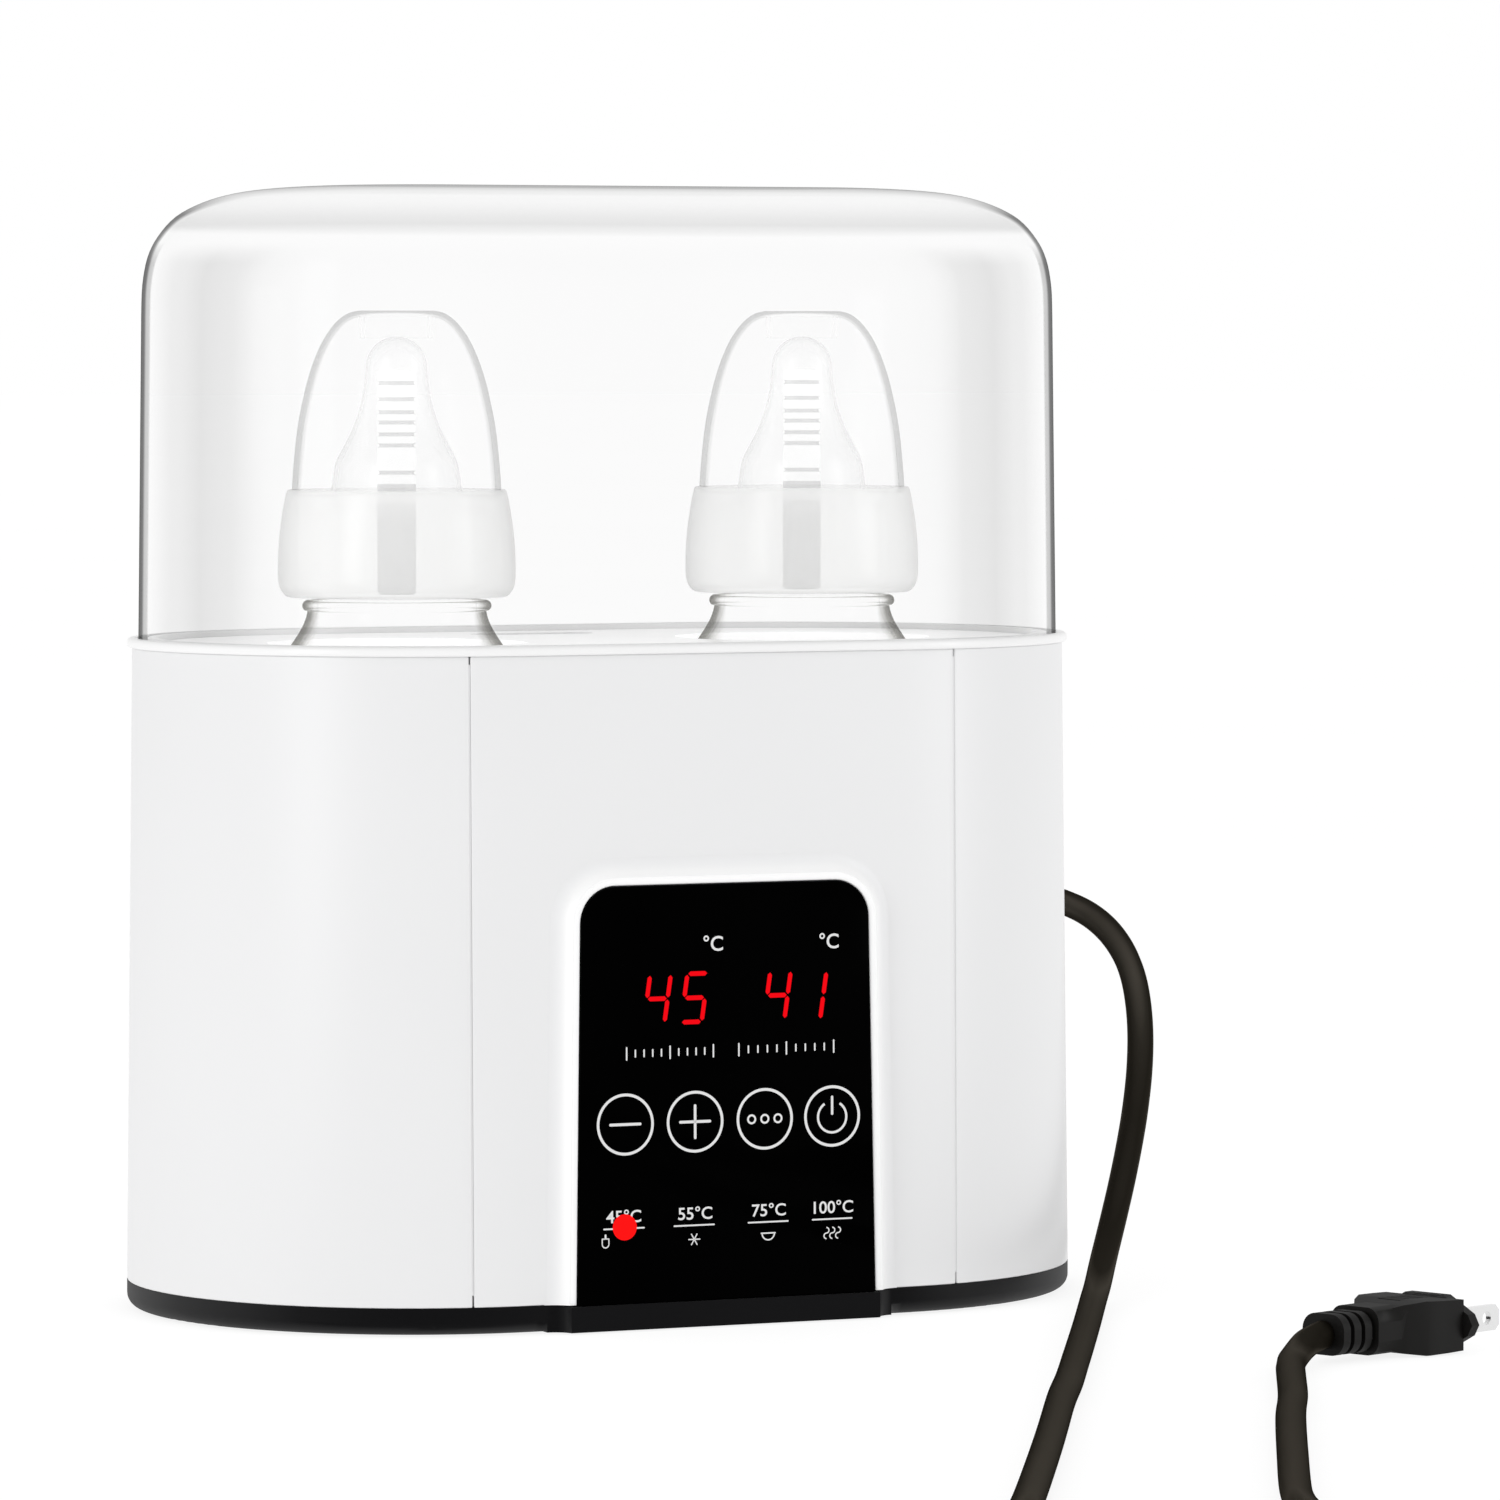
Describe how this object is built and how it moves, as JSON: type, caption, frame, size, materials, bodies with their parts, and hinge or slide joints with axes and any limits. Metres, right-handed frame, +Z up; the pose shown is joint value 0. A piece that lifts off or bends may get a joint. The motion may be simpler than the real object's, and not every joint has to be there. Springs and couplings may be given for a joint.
{
  "type": "bottle warmer",
  "caption": "Racetrack-shaped countertop water bath with a touch panel, a lift-out rack with feeding bottles and a clear lift-off cover; cord lies in a loop on the table.",
  "frame": {"origin": "middle of the body's plan, on the surface it stands on", "axes": "+Z up, +X along the body to its right as its user sees it, -Y towards the user, where the touch panel is"},
  "size_m": [0.3076, 0.6186, 0.2846],
  "materials": {
    "base_plastic": "satin moulding",
    "foot_rubber": "matt",
    "casing_white": "smooth semi-gloss",
    "rim_white": "smooth",
    "panel_black": "polished",
    "circuit_board": "solder mask",
    "display_red": "diffuse",
    "spring_metal": "plated",
    "tank_white": "satin",
    "plate_metal": "satin",
    "seal_silicone": "matt",
    "heater_metal": "satin",
    "ceramic_white": "matt",
    "board_dark": "moulded",
    "lead_red": "insulated lead",
    "screw_steel": "plated",
    "cord_black": "flexible PVC",
    "blade_metal": "plated",
    "cover_clear": "clear moulded plastic",
    "rack_white": "satin",
    "bottle_clear": "clear",
    "collar_white": "milky, smooth",
    "nipple_silicone": "translucent silicone",
    "cap_clear": "clear"
  },
  "bodies": {
    "housing": {"base_pan": "base_plastic", "rubber_feet": "foot_rubber", "housing_shell": "casing_white", "front_fascia": "casing_white", "rim_ring": "rim_white", "panel_lens": "panel_black", "display_board": "circuit_board", "digit_modules": "display_red", "touch_springs": "spring_metal", "indicator_leds": "display_red", "tank": "tank_white", "heating_plate": "plate_metal", "plate_gasket": "seal_silicone", "heater_tube": "heater_metal", "thermostat": "heater_metal", "thermal_fuse": "ceramic_white", "water_sensor": "plate_metal", "power_board": "circuit_board", "board_parts": "board_dark", "lead_wires": "lead_red", "case_screws": "screw_steel", "board_screws": "screw_steel", "cord_gland": "cord_black", "power_cord": "cord_black", "plug_body": "cord_black", "plug_blades": "blade_metal"},
    "cover": {"clear_cover": "cover_clear"},
    "rack": {"bottle_rack": "rack_white"},
    "left_bottle": {"left_glass": "bottle_clear", "left_collar": "collar_white", "left_nipple": "nipple_silicone"},
    "right_bottle": {"right_glass": "bottle_clear", "right_collar": "collar_white", "right_nipple": "nipple_silicone"},
    "left_bottle_cap": {"left_cap": "cap_clear"},
    "right_bottle_cap": {"right_cap": "cap_clear"}
  },
  "joints": [
    {"name": "cover_lift", "type": "slide", "parent": "housing", "child": "cover", "axis": [0, 0, 1], "range_m": [0, 0.6]},
    {"name": "rack_lift", "type": "slide", "parent": "housing", "child": "rack", "axis": [0, 0, 1], "range_m": [0, 0.138]},
    {"name": "left_bottle_lift", "type": "slide", "parent": "rack", "child": "left_bottle", "axis": [0, 0, 1], "range_m": [0, 0.138]},
    {"name": "right_bottle_lift", "type": "slide", "parent": "rack", "child": "right_bottle", "axis": [0, 0, 1], "range_m": [0, 0.138]},
    {"name": "left_cap_lift", "type": "slide", "parent": "left_bottle", "child": "left_bottle_cap", "axis": [0, 0, 1], "range_m": [0, 0.06]},
    {"name": "right_cap_lift", "type": "slide", "parent": "right_bottle", "child": "right_bottle_cap", "axis": [0, 0, 1], "range_m": [0, 0.06]}
  ],
  "couplings": [
    {"joint": "rack_lift", "follows": "cover_lift", "ratio": 0.23},
    {"joint": "left_bottle_lift", "follows": "cover_lift", "ratio": 0.23},
    {"joint": "right_bottle_lift", "follows": "cover_lift", "ratio": 0.23},
    {"joint": "left_cap_lift", "follows": "cover_lift", "ratio": 0.1},
    {"joint": "right_cap_lift", "follows": "cover_lift", "ratio": 0.1}
  ]
}
